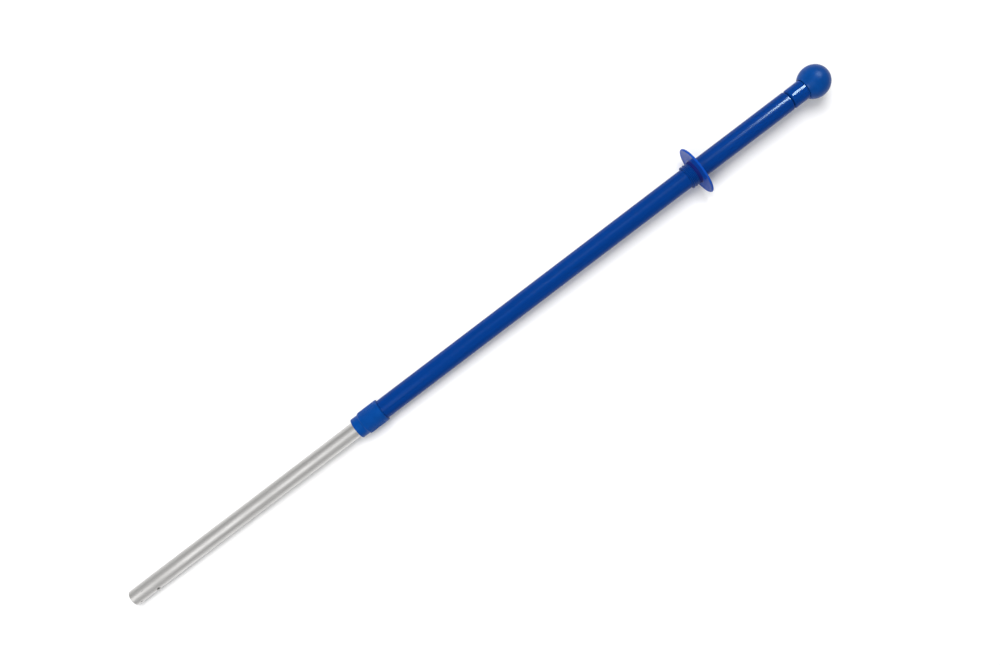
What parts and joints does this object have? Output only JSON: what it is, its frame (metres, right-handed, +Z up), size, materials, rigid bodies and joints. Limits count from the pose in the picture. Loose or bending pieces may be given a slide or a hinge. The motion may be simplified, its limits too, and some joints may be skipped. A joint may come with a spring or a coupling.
{
  "type": "telescopic push pole",
  "caption": "Telescopic push pole: blue outer tube with a ball knob, a sliding round hand guard and a twist-lock collar, and a bare inner tube with an open, cross-drilled tool end.",
  "frame": {"origin": "under the middle of the pole, at the level of the guard disc's lowest point", "axes": "+X along the pole from its open tool end to its knob, +Z up, the pole's axis level"},
  "size_m": [1.162, 0.0694, 0.0694],
  "materials": {
    "blue_coat": "smooth gloss coating",
    "blue_plastic": "moulded, semi-matte",
    "blue_gloss": "gloss",
    "blue_satin": "satin",
    "bare_aluminium": "drawn, bare",
    "grey_plastic": "moulded",
    "white_plastic": "natural acetal",
    "black_rubber": "matt",
    "bronze": "sintered bronze",
    "brass": "turned",
    "steel": "plain"
  },
  "bodies": {
    "outer_pole": {"outer_tube": "blue_coat", "collet_body": "grey_plastic", "collet_pin_front": "steel", "collet_pin_back": "steel", "end_plug": "grey_plastic", "plug_bush": "bronze"},
    "thrust_ring": {"thrust_ring": "bronze"},
    "lock_sleeve": {"lock_sleeve": "blue_plastic", "wiper_ring": "black_rubber"},
    "guide": {"guide_ring": "white_plastic"},
    "inner_pole": {"inner_tube": "bare_aluminium", "inner_plug": "grey_plastic", "plug_pin": "steel"},
    "guard_sleeve": {"guard_sleeve": "blue_plastic", "grip_ring_front": "black_rubber", "grip_ring_back": "black_rubber", "guard_clip": "blue_plastic"},
    "guard_disc": {"guard_disc": "blue_gloss"},
    "knob": {"knob_ball": "blue_satin", "knob_neck": "blue_gloss", "knob_insert": "brass", "knob_spindle": "steel", "thrust_washer": "white_plastic", "nut_washer": "steel", "spindle_nut": "steel"}
  },
  "joints": [
    {"name": "telescope_slide", "type": "slide", "parent": "outer_pole", "child": "guide", "axis": [-1, 0, 0], "range_m": [-0.32, 0.262]},
    {"name": "inner_turn", "type": "hinge", "parent": "guide", "child": "inner_pole", "pos_m": [0.119, 0, 0.0347], "axis": [-1, 0, 0], "continuous": true},
    {"name": "lock_travel", "type": "slide", "parent": "outer_pole", "child": "thrust_ring", "axis": [-1, 0, 0], "range_m": [0, 0.0021]},
    {"name": "lock_turn", "type": "hinge", "parent": "thrust_ring", "child": "lock_sleeve", "pos_m": [-0.202, 0, 0.0347], "axis": [-1, 0, 0], "range_deg": [0, 120]},
    {"name": "guard_slide", "type": "slide", "parent": "outer_pole", "child": "guard_sleeve", "axis": [1, 0, 0], "range_m": [-0.49, 0.14]},
    {"name": "guard_turn", "type": "hinge", "parent": "guard_sleeve", "child": "guard_disc", "pos_m": [0.3642, 0, 0.0347], "axis": [1, 0, 0], "continuous": true},
    {"name": "knob_spin", "type": "hinge", "parent": "outer_pole", "child": "knob", "pos_m": [0.517, 0, 0.0347], "axis": [1, 0, 0], "continuous": true}
  ],
  "couplings": [
    {"joint": "lock_travel", "follows": "lock_turn", "m_per_rad": 0.00095493}
  ]
}
